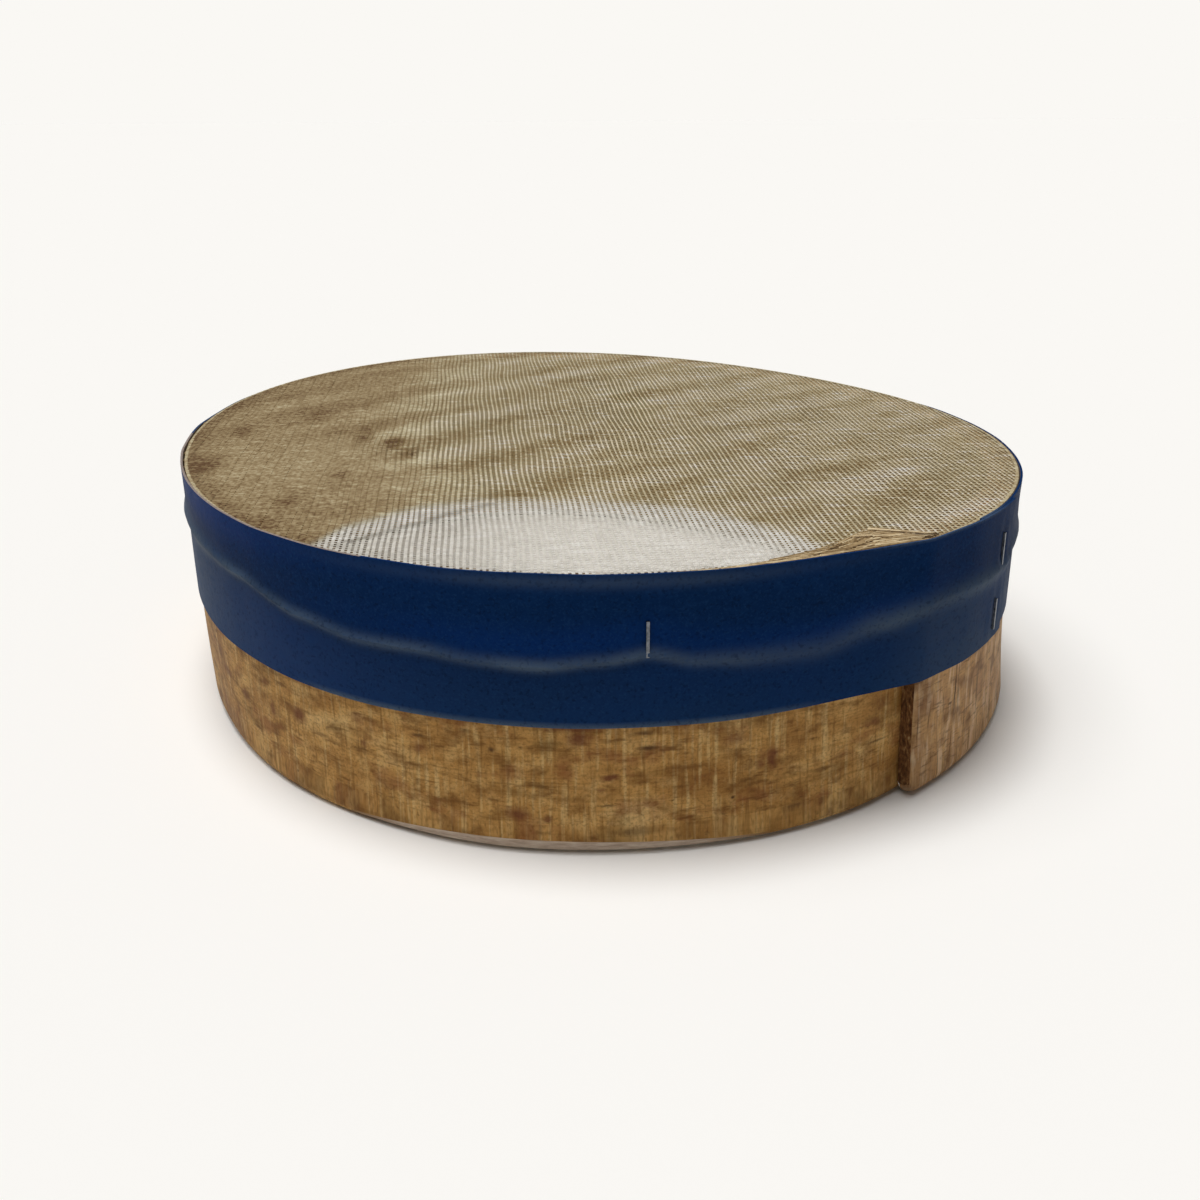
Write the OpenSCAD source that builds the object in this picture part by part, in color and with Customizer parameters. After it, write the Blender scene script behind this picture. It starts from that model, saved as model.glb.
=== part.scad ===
// Drum sieve: a bentwood hoop, a net stretched over its top and folded down outside,
// and a vinyl band that is wrapped over the fold and stapled to the hoop.
// The strip of the hoop winds one and a half turns, so half of the hoop is two layers thick.
// The hoop stands on z = 0 with the net on top, and -Y is the front.

/* [Hoop] */
// Outside diameter of the hoop's inner turn, before it is bent out of round
hoop_d = 300; // [200:1:420]
// Height of the bentwood strip
hoop_h = 84.5; // [60:0.5:130]
// Thickness of the bentwood strip
strip_t = 5; // [2.5:0.25:8]
// Direction of the strip's outer end, in degrees from +X
outer_end = -51; // [-70:1:-46]
// Direction of the strip's inner end
inner_end = 137; // [100:1:160]
// How far the hoop's long axis stands out from a true circle
oval_by = 10.3; // [0:0.1:12]
// Direction of the long axis
oval_dir = -56; // [-90:1:90]
// How far the hoop's three blunt corners stand out from a true circle
egg_by = 3.4; // [0:0.1:4]
// Direction of the first blunt corner
egg_dir = -5.5; // [-60:1:60]
// Height of the worn bevel on the lower edge, where it is highest
wear_h = 4; // [1:0.1:8]
// Depth of the worn bevel, where it is deepest
wear_in = 2; // [0.5:0.1:4]
// Direction of the middle of the worn bevel
wear_dir = -91; // [-180:1:0]

/* [Net] */
// Thickness of the net
net_t = 0.4; // [0.2:0.1:0.8]
// Distance between the net's threads
net_pitch = 16; // [15.5:0.5:30]
// Width of a thread
thread_w = 1; // [0.5:0.1:3]
// Direction of the threads
net_dir = 6; // [-45:1:45]
// How far the net is folded down outside the hoop
skirt_h = 26; // [12:0.5:38]
// Thickness of the folded hem along the net's edge
hem_t = 1; // [0.5:0.1:2]
// Height of the hem
hem_h = 3; // [1:0.5:6]

/* [Band] */
// Width of the vinyl band
band_h = 46; // [34:0.5:58]
// Thickness of the band
band_t = 0.9; // [0.5:0.1:2]
// How far the band stands above the hoop's top edge
band_proud = 1.5; // [0:0.1:3]
// Direction of the band's outer end
band_end = -32; // [-33:0.5:-28]
// Direction of the band's inner end, which lies under the outer one
band_start = -42; // [-44:0.5:-36]

/* [Fasteners] */
// Width of a staple's crown
crown_w = 10.6; // [6:0.2:13]
// Length of a staple's legs
leg_l = 6; // [4:0.5:6.5]
// Width of the staple wire
wire_w = 0.9; // [0.5:0.1:1.5]
// Thickness of the staple wire
wire_t = 0.6; // [0.4:0.1:1]
// Head diameter of a lap tack
tack_head_d = 4; // [2.5:0.5:6]
// Shank diameter of a lap tack
tack_d = 1.6; // [1:0.1:2.2]
// Gap all round a leg or a shank in its hole
hole_gap = 0.05; // [0.02:0.01:0.1]

/* [Hidden] */
$fn = 48;

// Angle between the corners of the hoop's outline
fine_a = 3;
// Heights, from the floor up
band_top = hoop_h + band_proud;
band_low = band_top - band_h;
skirt_low = hoop_h - skirt_h;
hem_top = skirt_low + hem_h;
shoulder_h = 1;
// How far the outside of each layer lies out from the wood
hem_out = hem_t + band_t;
skirt_out = net_t + band_t;
// A staple is [direction, height, how far out the band's face is there]
overlap_out = skirt_out + band_t;
staple_dir = band_end - 3.5;
front_staple = [-82.2, band_top - 19, skirt_out];
left_staple = [186, band_top - 20, skirt_out];
back_staple = [60, band_top - 19, skirt_out];
upper_staple = [staple_dir, band_top - 15, overlap_out];
lower_staple = [staple_dir, band_low + 8.7, 2 * band_t];
staples = [front_staple, left_staple, back_staple, upper_staple, lower_staple];
// Two tacks hold the lap near each end of the strip, under the band
tack_in = 3;
tack_head_t = 0.8;
tack_short = 0.5;
tack_places = [for (a = [outer_end + tack_in, inner_end - tack_in]) for (z = [0.25, 0.8]) [a, band_low + z * band_h]];
wood = "#8f6d3c";
cream = "#d8cdb2";
navy = "#16305f";
steel = "#b9bcc0";

function ray(a) = [cos(a), sin(a)];
// A direction as it is counted once round from the strip's outer end
function counted(a) = a < outer_end ? a + 360 : a;
// The outer layer lies one thickness out over the lap, and eases in to pass inside its own outer end
alone_a = outer_end + 360 - inner_end;
function lift(a) = a <= inner_end ? strip_t : strip_t * (1 + cos(180 * (a - inner_end) / alone_a)) / 2;
function bulge(a) = oval_by * cos(2 * (a - oval_dir)) + egg_by * cos(3 * (a - egg_dir));
function wood_r(a) = hoop_d / 2 + bulge(a) + lift(a);
function inner_r(a) = wood_r(a) - strip_t;

// The directions of an outline's corners, from one direction round to another
function sweep(a0, a1) = concat([a0], [for (a = [fine_a * ceil(a0 / fine_a + 0.1) : fine_a : a1 - 0.1]) a], [a1]);
// A straight stretch from the outline to a corner that stands a step out from it starts this far back
function run_up(step) = acos(hoop_d / (hoop_d + 2 * step));
bridge_a = outer_end + 360 - run_up(strip_t);
climb_a = band_start + 360 - run_up(band_t);

// The middle of the whole hoop stands at the origin
round_trip = sweep(outer_end, outer_end + 360);
xs = [for (a = round_trip) wood_r(a) * cos(a)];
ys = [for (a = round_trip) wood_r(a) * sin(a)];
middle = [min(xs) + max(xs), min(ys) + max(ys)] / 2;
function corner(a, r) = r * ray(a) - middle;
// A point that lies out from the wood's outside
function place(a, out) = corner(counted(a), wood_r(counted(a)) + out);

function outside_of(a0, a1, out) = [for (a = sweep(a0, a1)) corner(a, wood_r(a) + out)];

// The wood's outside, with a step at the strip's outer end
module outer_area() {
  polygon(concat(outside_of(outer_end, bridge_a, 0), outside_of(bridge_a, outer_end + 360, 0)));
}

// The hollow of the hoop, with a step at the strip's inner end
module hollow_area() {
  polygon(concat(
    [for (a = sweep(outer_end, inner_end)) corner(a, inner_r(a) - strip_t)],
    [for (a = sweep(inner_end, outer_end + 360)) corner(a, inner_r(a))]));
}

// The area inside a skin that lies on the wood and bridges the step at the strip's outer end
module skin(out) {
  polygon(outside_of(outer_end, bridge_a, out));
}

module ring(inside, outside) {
  difference() {
    skin(outside);
    skin(inside);
  }
}

// The band's cross-section: its outer end climbs over its inner one, past a small hollow
module band_ring(inside, outside) {
  top = outside + band_t;
  difference() {
    polygon(concat(
      outside_of(band_end, bridge_a, outside),
      [for (a = sweep(outer_end, climb_a - 360)) place(a, outside)],
      [for (a = sweep(band_start, band_end)) place(a, top)]));
    skin(inside);
    polygon([place(climb_a, inside), place(climb_a, inside - 1), place(band_start, inside - 1),
      place(band_start, inside), place(band_start, outside)]);
  }
}

module slab(z0, z1) {
  translate([0, 0, z0]) linear_extrude(z1 - z0) children();
}

// Puts a part on the hoop's outside, with its own +X outwards
module on_hoop(a, z, out) {
  p = place(a, out);
  translate([p.x, p.y, z]) rotate([0, 0, a]) children();
}

// A staple seen from the side, with chisel points on its legs
module staple(grow) {
  outer = crown_w / 2 + grow;
  inner = crown_w / 2 - wire_w - grow;
  rotate([90, 0, 0]) linear_extrude(wire_w + 2 * grow, center = true) polygon([
    [wire_t, -outer], [wire_t, outer], [-leg_l + wire_w, outer], [-leg_l, inner],
    [0, inner], [0, -inner], [-leg_l, -inner], [-leg_l + wire_w, -outer]]);
}

module staple_on(s, grow = 0) {
  on_hoop(s[0], s[1], s[2]) staple(grow);
}

module staple_holes() {
  for (s = staples) staple_on(s, hole_gap);
}

module tack(grow) {
  rotate([0, -90, 0]) cylinder(h = tack_head_t + grow, d = tack_head_d + 2 * grow);
  rotate([0, -90, 0]) cylinder(h = 2 * strip_t - tack_short + grow, d = tack_d + 2 * grow);
}

module tacks_on(grow = 0) {
  for (t = tack_places) on_hoop(t[0], t[1], 0) tack(grow);
}

// Wear has cut the lower edge back to a cone that stands a little behind the hoop, so the bevel fades at both ends
module worn_edge() {
  front = norm(place(wear_dir, 0));
  back_off = 2 * wear_in;
  cone_r = front - wear_in + back_off;
  translate([0, 0, -wear_h]) difference() {
    cylinder(h = 2 * wear_h, r = 1.5 * front);
    translate([-back_off * cos(wear_dir), -back_off * sin(wear_dir), 0])
      cylinder(h = 2 * wear_h, r1 = cone_r - wear_in, r2 = cone_r + wear_in);
  }
}

module hoop() {
  color(wood) difference() {
    slab(0, hoop_h) difference() {
      outer_area();
      hollow_area();
    }
    worn_edge();
    staple_holes();
    tacks_on(hole_gap);
  }
}

module lap_tacks() {
  color(steel) tacks_on();
}

module net_face() {
  side = net_pitch - thread_w;
  rows = ceil(hoop_d / 2 / net_pitch);
  inside = hoop_d / 2 - 2 * strip_t - oval_by - egg_by;
  color(cream) slab(hoop_h, hoop_h + net_t) difference() {
    skin(net_t);
    intersection() {
      hollow_area();
      rotate(net_dir) for (x = [-rows : rows]) for (y = [-rows : rows])
        if (norm([x, y]) * net_pitch < inside) translate([x, y] * net_pitch) square(side, center = true);
    }
  }
}

module net_skirt() {
  color(cream) difference() {
    union() {
      slab(skirt_low, hem_top) ring(0, hem_t);
      slab(hem_top, hoop_h) ring(0, net_t);
    }
    staple_holes();
  }
}

module band() {
  color(navy) difference() {
    union() {
      slab(band_low, skirt_low - shoulder_h) band_ring(0, band_t);
      slab(skirt_low - shoulder_h, skirt_low) band_ring(0, hem_out);
      slab(skirt_low, hem_top) band_ring(hem_t, hem_out);
      slab(hem_top, hem_top + shoulder_h) band_ring(net_t, hem_out);
      slab(hem_top + shoulder_h, band_top) band_ring(net_t, skirt_out);
    }
    staple_holes();
  }
}

module staple_front() {
  color(steel) staple_on(front_staple);
}

module staple_left() {
  color(steel) staple_on(left_staple);
}

module staple_back() {
  color(steel) staple_on(back_staple);
}

module staple_end_upper() {
  color(steel) staple_on(upper_staple);
}

module staple_end_lower() {
  color(steel) staple_on(lower_staple);
}

hoop();
lap_tacks();
net_face();
net_skirt();
band();
staple_front();
staple_left();
staple_back();
staple_end_upper();
staple_end_lower();
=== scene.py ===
import math
import random
import bpy
from mathutils import Matrix, Vector


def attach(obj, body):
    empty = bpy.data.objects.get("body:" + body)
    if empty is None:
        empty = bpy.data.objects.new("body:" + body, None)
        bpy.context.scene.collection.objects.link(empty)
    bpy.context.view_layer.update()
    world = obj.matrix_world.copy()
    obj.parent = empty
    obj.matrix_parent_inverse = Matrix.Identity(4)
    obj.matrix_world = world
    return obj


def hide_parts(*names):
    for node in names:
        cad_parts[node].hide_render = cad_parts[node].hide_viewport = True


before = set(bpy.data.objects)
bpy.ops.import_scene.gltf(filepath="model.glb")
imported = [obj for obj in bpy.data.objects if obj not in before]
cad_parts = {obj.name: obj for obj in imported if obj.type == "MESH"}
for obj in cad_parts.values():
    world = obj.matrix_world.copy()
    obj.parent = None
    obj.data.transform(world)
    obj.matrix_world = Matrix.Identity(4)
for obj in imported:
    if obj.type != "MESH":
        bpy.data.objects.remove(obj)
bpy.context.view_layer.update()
print("frame loaded:", len(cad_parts), "nodes")

mm = 0.001
turn = 360

# The hoop's plan, in millimetres and degrees. The strip starts at its outer end, runs round
# counter-clockwise one and a half times and stops at its inner end, inside itself.
plan = {
    "across": 300, "high": 84.5, "strip": 5.0,
    "outerEnd": -51, "innerEnd": 137,
    "ovalBy": 10.3, "ovalDir": -56, "eggBy": 3.4, "eggDir": -5.5,
}
aloneAngle = plan["outerEnd"] + turn - plan["innerEnd"]


def cosOf(a):
    return math.cos(math.radians(a))


def sinOf(a):
    return math.sin(math.radians(a))


def plainRadius(a):  # the round of the hoop with its flats, without the lap
    oval = plan["ovalBy"] * cosOf(2 * (a - plan["ovalDir"]))
    egg = plan["eggBy"] * cosOf(3 * (a - plan["eggDir"]))
    return plan["across"] / 2 + oval + egg


def liftAt(a):  # how far the strip's outside stands out, as it eases inward to pass under its end
    if a <= plan["innerEnd"]:
        return plan["strip"]
    if a >= plan["outerEnd"] + turn:
        return 0.0
    return plan["strip"] * (1 + cosOf(180 * (a - plan["innerEnd"]) / aloneAngle)) / 2


def woodRadius(a):  # the wood's outside, a from the outer end once round
    return plainRadius(a) + liftAt(a)


def around(a):  # the same direction, counted from the outer end
    return (a - plan["outerEnd"]) % turn + plan["outerEnd"]


def innerRadius(a):  # the hollow's side, in any direction
    a = around(a)
    return woodRadius(a) - plan["strip"] * (2 if a <= plan["innerEnd"] else 1)


def middleOfPlan():
    xs, ys = [], []
    for i in range(3600):
        a = plan["outerEnd"] + i / 10
        xs.append(woodRadius(a) * cosOf(a))
        ys.append(woodRadius(a) * sinOf(a))
    return (min(xs) + max(xs)) / 2, (min(ys) + max(ys)) / 2


middle = middleOfPlan()


def place(a, r, z):  # a point in metres from a direction, a radius and a height in millimetres
    return Vector(((r * cosOf(a) - middle[0]) * mm, (r * sinOf(a) - middle[1]) * mm, z * mm))


def directionOf(point):
    return math.degrees(math.atan2(point.y / mm + middle[1], point.x / mm + middle[0]))


def runUp(step):  # how far before a step a stretched skin leaves the wood
    return math.degrees(math.acos(plan["across"] / (plan["across"] + 2 * step)))


bridgeStart = plan["outerEnd"] + turn - runUp(plan["strip"])
bridgeEnd = plan["outerEnd"] + turn


def skinRadius(a):  # the outside that the net and the band are stretched over
    a = around(a)
    if a <= bridgeStart:
        return woodRadius(a)
    r1, r2 = woodRadius(bridgeStart), woodRadius(plan["outerEnd"])
    x1, y1 = r1 * cosOf(bridgeStart), r1 * sinOf(bridgeStart)
    x2, y2 = r2 * cosOf(bridgeEnd), r2 * sinOf(bridgeEnd)
    return (x1 * y2 - x2 * y1) / (cosOf(a) * (y2 - y1) - sinOf(a) * (x2 - x1))


def smooth(t):
    t = min(1, max(0, t))
    return t * t * (3 - 2 * t)


def bell(x, wide):
    return math.exp(-(x / wide) ** 2)


def nearest(a, b):  # the angle from b to a, the short way
    return (a - b + 180) % 360 - 180


def ripple(seed, count, low, high):  # a fixed sum of waves round the hoop
    rng = random.Random(seed)
    waves = [(rng.randint(low, high), rng.uniform(0, 360), rng.uniform(0.5, 1)) for _ in range(count)]
    total = sum(w[2] for w in waves)
    return lambda a: sum(s * cosOf(n * a + p) for n, p, s in waves) / total


def steps(first, last, step, fineAtFirst=()):  # the directions of a strip's sections
    count = round((last - first) / step)
    regular = [first + (last - first) * i / count for i in range(count + 1)]
    return sorted(regular + [first + f for f in fineAtFirst])


def deselectAll():
    bpy.ops.object.select_all(action="DESELECT")


def onlySelect(obj):
    deselectAll()
    obj.select_set(True)
    bpy.context.view_layer.objects.active = obj


def sweepStrip(name, angles, section):
    # a grid is rolled into a tube of the given section and wound round the plan
    rows = [section(a) for a in angles]
    count, sides = len(angles) - 1, len(rows[0])
    closed = abs(angles[-1] - angles[0] - turn) < 1e-9
    deselectAll()
    bpy.ops.mesh.primitive_grid_add(x_subdivisions=count, y_subdivisions=sides, size=1)
    obj = bpy.context.object
    obj.name = name
    along = [math.radians(a - angles[0]) * plan["across"] / 2 for a in angles]
    girth = [0.0]
    for j in range(sides):
        p, q = rows[0][j], rows[0][(j + 1) % sides]
        girth.append(girth[-1] + math.hypot(q[0] - p[0], q[1] - p[1]))
    for v in obj.data.vertices:
        i, j = round((v.co.x + 0.5) * count), round((v.co.y + 0.5) * sides)
        r, z = rows[i][j % sides]
        v.co = place(angles[i], r, z)
    layer = obj.data.uv_layers.active
    layer.name = "strip"
    for item in layer.data:
        i, j = round(item.uv[0] * count), round(item.uv[1] * sides)
        item.uv = (along[i] * mm, girth[j] * mm)
    onlySelect(obj)
    bpy.ops.object.mode_set(mode="EDIT")
    bpy.ops.mesh.select_all(action="SELECT")
    bpy.ops.mesh.remove_doubles(threshold=1e-6)
    if not closed:
        bpy.ops.mesh.select_mode(type="EDGE")
        bpy.ops.mesh.select_all(action="DESELECT")
        bpy.ops.mesh.select_non_manifold(extend=False, use_wire=False, use_multi_face=False,
                                         use_non_contiguous=False, use_verts=False)
        bpy.ops.mesh.fill_holes(sides=0)
    bpy.ops.mesh.select_all(action="SELECT")
    bpy.ops.mesh.normals_make_consistent(inside=False)
    bpy.ops.mesh.select_mode(type="VERT")
    bpy.ops.object.mode_set(mode="OBJECT")
    bpy.ops.object.shade_smooth_by_angle(angle=math.radians(40))
    return obj


def dress(obj, slotName, *replaced):
    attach(obj, "root")
    if replaced:
        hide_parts(*replaced)
    return obj


def toLinear(hexText):
    values = [int(hexText[i:i + 2], 16) / 255 for i in (1, 3, 5)]
    return tuple(v / 12.92 if v <= 0.04045 else ((v + 0.055) / 1.055) ** 2.4 for v in values) + (1.0,)


def addNode(mat, kind, values=None, links=None, stops=None, **settings):
    tree = mat.node_tree
    node = tree.nodes.new("ShaderNode" + kind)
    for key, value in settings.items():
        setattr(node, key, value)
    if stops:
        ramp = node.color_ramp
        while len(ramp.elements) < len(stops):
            ramp.elements.new(0.5)
        for element, (at, value) in zip(ramp.elements, stops):
            element.position = at
            element.color = toLinear(value)
    for key, value in (values or {}).items():
        node.inputs[key].default_value = value
    for key, source in (links or {}).items():
        if isinstance(source, tuple):
            tree.links.new(source[0].outputs[source[1]], node.inputs[key])
        else:
            tree.links.new(source.outputs[0], node.inputs[key])
    return node


def newMaterial(name):
    mat = bpy.data.materials.new(name)
    mat.use_nodes = True
    mat.node_tree.nodes.clear()
    return mat


def finishMaterial(mat, shader):
    out = addNode(mat, "OutputMaterial")
    mat.node_tree.links.new(shader.outputs[0], out.inputs["Surface"])
    return mat


def paintOver(mat, source, colour, layers):
    # Each layer is noise that lets a colour through: the length and height of its grains in millimetres,
    # its detail, where it starts, the noise values between which it fades in, its strength and its colour.
    noises = []
    for longMm, highMm, detail, start, low, high, strength, shade in layers:
        scaled = addNode(mat, "Mapping", {"Scale": (1 / (longMm * mm), 1 / (highMm * mm), 1),
                                          "Location": (start, start, start)}, {"Vector": source})
        noise = addNode(mat, "TexNoise", {"Scale": 1.0, "Detail": detail, "Roughness": 0.55}, {"Vector": scaled})
        mask = addNode(mat, "MapRange", {"From Min": low, "From Max": high, "To Max": strength}, {"Value": noise})
        colour = addNode(mat, "MixRGB", {"Color2": toLinear(shade)}, {"Fac": mask, "Color1": colour})
        noises.append(noise)
    return colour, noises


def paintSpots(mat, source, colour, shade, spots, girthOf, fray=0.004):
    # Single stains, or a painted shadow: direction, height, half width, half height and strength, with outlines frayed
    # by some metres.
    wave = addNode(mat, "TexNoise", {"Scale": 280.0, "Detail": 4.0, "Roughness": 0.65}, {"Vector": source})
    shaken = addNode(mat, "VectorMath", {1: (fray, fray * 0.6, 0)}, {0: (wave, "Color"), 2: source},
                     operation="MULTIPLY_ADD")
    total = None
    for a, z, halfWide, halfHigh, strength in spots:
        u = math.radians(a - plan["outerEnd"]) * plan["across"] / 2 * mm + fray / 2
        v = girthOf(z) * mm + fray * 0.3
        sx, sy = 1 / (halfWide * mm), 1 / (halfHigh * mm)
        scaled = addNode(mat, "Mapping", {"Scale": (sx, sy, 0), "Location": (-u * sx, -v * sy, 0)}, {"Vector": shaken})
        away = addNode(mat, "VectorMath", None, {0: scaled}, operation="LENGTH")
        mask = addNode(mat, "MapRange", {"From Min": 1.35, "From Max": 0.35, "To Max": strength},
                       {"Value": (away, "Value")})
        total = mask if total is None else addNode(mat, "Math", None, {0: total, 1: mask}, operation="MAXIMUM")
    return addNode(mat, "MixRGB", {"Color2": toLinear(shade)}, {"Fac": total, "Color1": colour})


def outsideGirth(z):  # the way round the strip's section from its foot to a height on its outside
    return z + 0.9


def insideGirth(z):  # the same to a height on its inside
    return 173.4 - z


def woodMaterial():
    # Old beech strip, steam bent and oiled: golden ochre, with pale and dark scraper marks across the grain,
    # short dark flecks along it, red-brown and olive stains where wet hands have held it, and a painted shadow under
    # the band's lower edge.
    mat = newMaterial("oiledBentBeech")
    uv = addNode(mat, "UVMap", uv_map="strip")
    scaled = addNode(mat, "Mapping", {"Scale": (1 / (32 * mm), 1 / (17 * mm), 1)}, {"Vector": uv})
    mottle = addNode(mat, "TexNoise", {"Scale": 1.0, "Detail": 5.0, "Roughness": 0.6}, {"Vector": scaled})
    base = addNode(mat, "ValToRGB", None, {"Fac": mottle},
                   [(0.32, "#9a6a33"), (0.44, "#b98849"), (0.56, "#cf9f5c"), (0.68, "#e3bb7c")])
    colour, noises = paintOver(mat, uv, base, (
        (1.5, 20, 3, 1.7, 0.52, 0.70, 0.55, "#f3d596"),  # pale scraper marks
        (1.2, 15, 3, 5.9, 0.53, 0.68, 0.55, "#7d5728"),  # dark scraper marks
        (22, 0.8, 3, 1.3, 0.52, 0.68, 0.35, "#80592b"),  # grain lines
        (6, 7, 5, 6.6, 0.52, 0.72, 0.42, "#eac483"),  # rubbed pale patches
        (9, 2.4, 5, 7.7, 0.56, 0.72, 0.76, "#653e17"),  # flecks along the grain
        (8, 5, 6, 2.3, 0.51, 0.69, 0.78, "#794f20"),  # brown mottling
        (14, 9, 5, 3.3, 0.57, 0.68, 0.55, "#874c2b"),  # red-brown stains
        (18, 11, 5, 9.1, 0.57, 0.70, 0.45, "#6f5529"),  # olive stains
        (0.9, 0.9, 1, 2.9, 0.48, 0.72, 0.45, "#6d4b22"),  # speckle
        (3.2, 1.0, 2, 8.3, 0.68, 0.78, 0.60, "#4a2f16"),  # short dark nicks
    ))
    # red-brown stains, and a painted shadow along the band's lower edge
    colour = paintSpots(mat, uv, colour, "#6b3720", strip["stains"], outsideGirth)
    split = addNode(mat, "SeparateXYZ", None, {"Vector": uv})
    lapMask = addNode(mat, "MapRange", {"From Min": 0.21, "From Max": 0.10, "To Max": 1.0}, {"Value": split})
    greyed = addNode(mat, "MixRGB", {"Fac": 0.45, "Color2": toLinear("#e1b284")}, {"Color1": colour})
    cracked, crackNoises = paintOver(mat, uv, greyed, (
        (0.8, 18, 3, 4.1, 0.59, 0.69, 0.80, "#452c18"),  # drying cracks
        (1.9, 13, 4, 6.3, 0.50, 0.66, 0.60, "#f6d9b4"),  # pale streaks across the grain
        (6, 8, 6, 8.8, 0.50, 0.68, 0.72, "#744a27"),  # damp marks
        (4, 0.9, 3, 5.5, 0.56, 0.70, 0.60, "#66432a"),  # short scratches
    ))
    nearEnd = addNode(mat, "MapRange", {"From Min": 0.013, "From Max": 0.0, "To Max": 0.35}, {"Value": split})
    darkened = addNode(mat, "MixRGB", {"Color2": toLinear("#5f4329")}, {"Fac": nearEnd, "Color1": cracked})
    colour = addNode(mat, "MixRGB", None, {"Fac": lapMask, "Color1": colour, "Color2": darkened})
    colour = paintSpots(mat, uv, colour, "#452c17", strip["dashes"], outsideGirth, 0.0015)
    bumpSum = addNode(mat, "Math", None, {0: noises[1], 1: noises[3]}, operation="ADD")
    bump = addNode(mat, "Bump", {"Strength": 0.25, "Distance": 0.0003}, {"Height": bumpSum})
    roughness = addNode(mat, "MapRange", {"To Min": 0.5, "To Max": 0.72}, {"Value": mottle})
    shader = addNode(mat, "BsdfPrincipled", {"IOR": 1.45, "Specular IOR Level": 0.18},
                     {"Base Color": colour, "Roughness": roughness, "Normal": bump})
    return finishMaterial(mat, shader)


def insideMaterial():
    # Inside of the strip: bare planed beech, paler and yellower than outside, with a few damp marks. Flour has
    # stuck to its foot, which is nearly white up to the height where the sieve has stood in it.
    mat = newMaterial("planedBeechInside")
    uv = addNode(mat, "UVMap", uv_map="strip")
    scaled = addNode(mat, "Mapping", {"Scale": (1 / (45 * mm), 1 / (28 * mm), 1)}, {"Vector": uv})
    mottle = addNode(mat, "TexNoise", {"Scale": 1.0, "Detail": 4.0, "Roughness": 0.55}, {"Vector": scaled})
    base = addNode(mat, "ValToRGB", None, {"Fac": mottle},
                   [(0.32, "#cdb07a"), (0.48, "#e0c48e"), (0.66, "#ecd39f")])
    colour, noises = paintOver(mat, uv, base, (
        (2.0, 30, 3, 2.7, 0.52, 0.70, 0.35, "#f0dcb0"),
        (1.6, 24, 3, 6.9, 0.52, 0.70, 0.35, "#a88a58"),
        (30, 16, 3, 5.2, 0.52, 0.70, 0.40, "#a8976e"),
        (9, 6, 4, 3.9, 0.60, 0.72, 0.45, "#94714a"),
        (1.2, 1.2, 1, 1.9, 0.55, 0.75, 0.30, "#94784c"),
    ))
    split = addNode(mat, "SeparateXYZ", None, {"Vector": uv})
    # darker along the inside from the right side round to the back
    along = addNode(mat, "MapRange", {"From Min": 0.0, "From Max": 1.5}, {"Value": split})
    darkerStretch = addNode(mat, "ValToRGB", None, {"Fac": along},
                   [(0.58, "#ffffff"), (0.64, "#c0b8aa"), (0.82, "#c6beb0"), (0.93, "#ffffff")])
    colour = addNode(mat, "MixRGB", {"Fac": 1.0}, {"Color1": colour, "Color2": darkerStretch}, blend_type="MULTIPLY")
    colour = paintSpots(mat, uv, colour, "#5c3e24", strip["insideMarks"], insideGirth)
    wavy = addNode(mat, "Math", {1: 1.6 * mm}, {0: mottle, 2: (split, "Y")}, operation="MULTIPLY_ADD")
    start = insideGirth(strip["flourHigh"]) + 0.8
    floured = addNode(mat, "MapRange", {"From Min": (start - 0.4) * mm, "From Max": (start + 0.4) * mm}, {"Value": wavy})
    colour = addNode(mat, "MixRGB", {"Color2": toLinear("#fbf9f4")}, {"Fac": floured, "Color1": colour})
    bump = addNode(mat, "Bump", {"Strength": 0.25, "Distance": 0.0003}, {"Height": noises[1]})
    shader = addNode(mat, "BsdfPrincipled", {"IOR": 1.45, "Specular IOR Level": 0.2, "Roughness": 0.7},
                     {"Base Color": colour, "Normal": bump})
    return finishMaterial(mat, shader)


def vinylMaterial():
    # Calendered PVC tape, navy: a fine pressed grain under a dull sheen. It is royal blue where it is clean,
    # bloomed grey where hands have rubbed it, rubbed grey with a painted highlight along the hem that lies under it,
    # and painted grey sheen low on the far left.
    mat = newMaterial("calenderedNavyVinyl")
    uv = addNode(mat, "UVMap", uv_map="strip")
    tone = addNode(mat, "Attribute", attribute_name="tone")
    split = addNode(mat, "SeparateXYZ", None, {"Vector": (tone, 1)})
    level = addNode(mat, "MapRange", {"From Min": -24.0, "From Max": 28.0}, {"Value": split})
    zones = addNode(mat, "ValToRGB", None, {"Fac": level},
                    [(0.0, "#18355f"), (0.38, "#132e57"), (0.46, "#08203f"), (0.53, "#08264e"), (1.0, "#092a56")])
    royal = addNode(mat, "MixRGB", {"Color2": toLinear("#0a3682")}, {"Fac": (split, "Y"), "Color1": zones})
    bloomAndSheen = addNode(mat, "MixRGB", {"Color2": toLinear("#58697c")}, {"Fac": (split, "Z"), "Color1": royal})
    colour, noises = paintOver(mat, uv, bloomAndSheen, (
        (3.5, 3.5, 5, 1.1, 0.50, 0.75, 0.20, "#1c4274"),
        (45, 22, 3, 2.2, 0.45, 0.70, 0.30, "#0a3068"),
        (0.7, 0.7, 2, 4.4, 0.50, 0.75, 0.25, "#24497a"),
        (1.1, 1.1, 1, 6.4, 0.55, 0.75, 0.35, "#050f24"),
    ))
    bump = addNode(mat, "Bump", {"Strength": 0.25, "Distance": 0.0002}, {"Height": noises[2]})
    roughness = addNode(mat, "MapRange", {"To Min": 0.40, "To Max": 0.60}, {"Value": noises[0]})
    shader = addNode(mat, "BsdfPrincipled", {"IOR": 1.53, "Specular IOR Level": 0.015},
                     {"Base Color": colour, "Roughness": roughness, "Normal": bump})
    return finishMaterial(mat, shader)


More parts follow.
